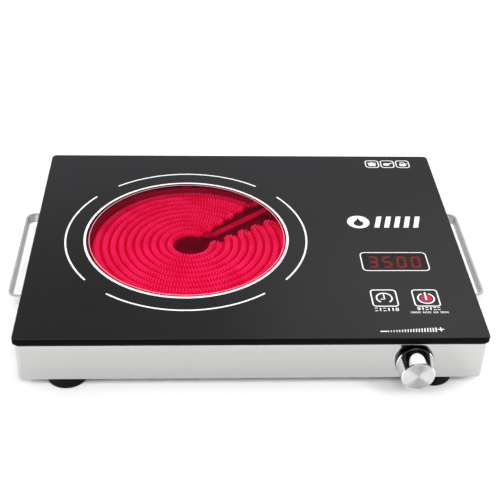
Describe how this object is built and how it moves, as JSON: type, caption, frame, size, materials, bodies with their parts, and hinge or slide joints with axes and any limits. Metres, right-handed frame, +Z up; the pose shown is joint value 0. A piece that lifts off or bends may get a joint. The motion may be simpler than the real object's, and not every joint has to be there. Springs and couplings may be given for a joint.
{
  "type": "hot plate burner",
  "caption": "Portable radiant hot plate: black glass top on a steel case, glowing round heater, turning control knob, display, touch keys, side carrying handles and rubber feet.",
  "frame": {"origin": "on the table, under the middle of the whole object's box", "axes": "+X to the user's right, +Y to the back, +Z up"},
  "size_m": [0.4126, 0.3174, 0.056],
  "materials": {
    "black_glass": "polished black glass-ceramic",
    "silicone": "matte silicone",
    "black_rubber": "matte rubber",
    "black_nylon": "moulded nylon",
    "case_steel": "brushed stainless steel",
    "galvanised_steel": "galvanised sheet",
    "polished_chrome": "polished",
    "spun_aluminium": "spun with fine rings",
    "zinc_screw": "zinc plated",
    "brass": "satin",
    "insulation": "pressed fibre, matte",
    "glowing_wire": "wound resistance wire, glowing",
    "ceramic": "unglazed",
    "circuit_board": "solder mask",
    "display_black": "gloss",
    "foam": "conductive foam",
    "heat_sink_aluminium": "extruded",
    "dark_plastic": "moulded",
    "yellow_plastic": "moulded"
  },
  "bodies": {
    "housing": {"glass_panel": "black_glass", "glass_seal": "silicone", "case": "case_steel", "base_plate": "galvanised_steel", "front_left_foot": "black_rubber", "front_right_foot": "black_rubber", "rear_left_foot": "black_rubber", "rear_right_foot": "black_rubber", "right_handle": "polished_chrome", "left_handle": "polished_chrome", "foot_screws": "zinc_screw", "foot_nuts": "zinc_screw", "base_screws": "zinc_screw", "handle_screws": "zinc_screw", "handle_nuts": "zinc_screw", "heater_pan": "galvanised_steel", "insulation_base": "insulation", "insulation_ring": "insulation", "heating_coil": "glowing_wire", "terminal_block": "ceramic", "terminal_tabs": "brass", "thermal_limiter": "ceramic", "rear_heater_spring": "galvanised_steel", "left_heater_spring": "galvanised_steel", "right_heater_spring": "galvanised_steel", "control_board": "circuit_board", "display_module": "display_black", "timer_touch_pad": "foam", "power_touch_pad": "foam", "control_board_standoffs": "brass", "power_board": "circuit_board", "heat_sink": "heat_sink_aluminium", "power_relay": "dark_plastic", "filter_capacitor": "yellow_plastic", "power_board_standoffs": "brass", "board_screws": "zinc_screw", "fan_frame": "dark_plastic", "fan_bearing": "brass", "fan_screws": "zinc_screw", "encoder_body": "dark_plastic", "encoder_board": "circuit_board", "encoder_nut": "zinc_screw", "knob_escutcheon": "polished_chrome", "cord_gland": "black_nylon", "gland_nut": "black_nylon"},
    "knob": {"knob_body": "polished_chrome", "knob_face": "spun_aluminium", "encoder_shaft": "zinc_screw"},
    "fan_rotor": {"fan_impeller": "dark_plastic", "fan_axle": "zinc_screw"}
  },
  "joints": [
    {"name": "knob_turn", "type": "hinge", "parent": "housing", "child": "knob", "pos_m": [0.131, -0.1395, 0.03125], "axis": [0, -1, 0], "continuous": true},
    {"name": "fan_spin", "type": "hinge", "parent": "housing", "child": "fan_rotor", "pos_m": [0.105, 0.104, 0.013], "axis": [0, 0, 1], "continuous": true}
  ]
}
